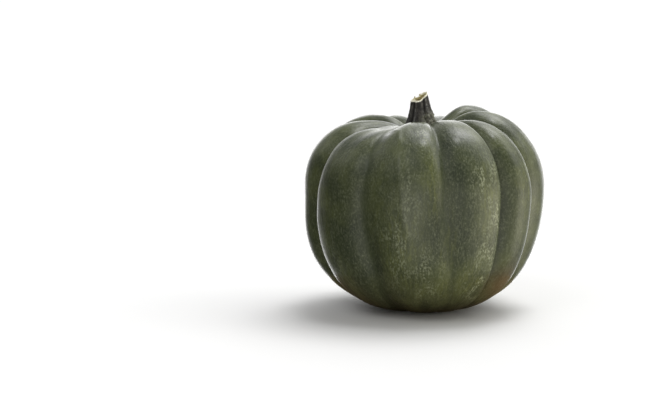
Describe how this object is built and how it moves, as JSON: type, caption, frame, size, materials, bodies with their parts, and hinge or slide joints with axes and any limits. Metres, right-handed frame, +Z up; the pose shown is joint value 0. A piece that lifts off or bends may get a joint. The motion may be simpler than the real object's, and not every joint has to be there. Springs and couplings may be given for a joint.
{
  "type": "acorn squash",
  "caption": "Whole acorn squash: squat, deeply ribbed dark green fruit that stands on its blossom end, with a short cut stem on top.",
  "frame": {"origin": "on the level surface that the squash rests on, under the middle of its box", "axes": "+Z up through the stem, -Y towards the front, +X to the right"},
  "size_m": [0.14, 0.1396, 0.1264],
  "materials": {
    "rind": "satin",
    "stem_bark": "matte",
    "stem_cut": "matte",
    "blossom_scar": "matte"
  },
  "bodies": {
    "root": {"fruit": "rind", "stem": "stem_bark"}
  },
  "joints": []
}
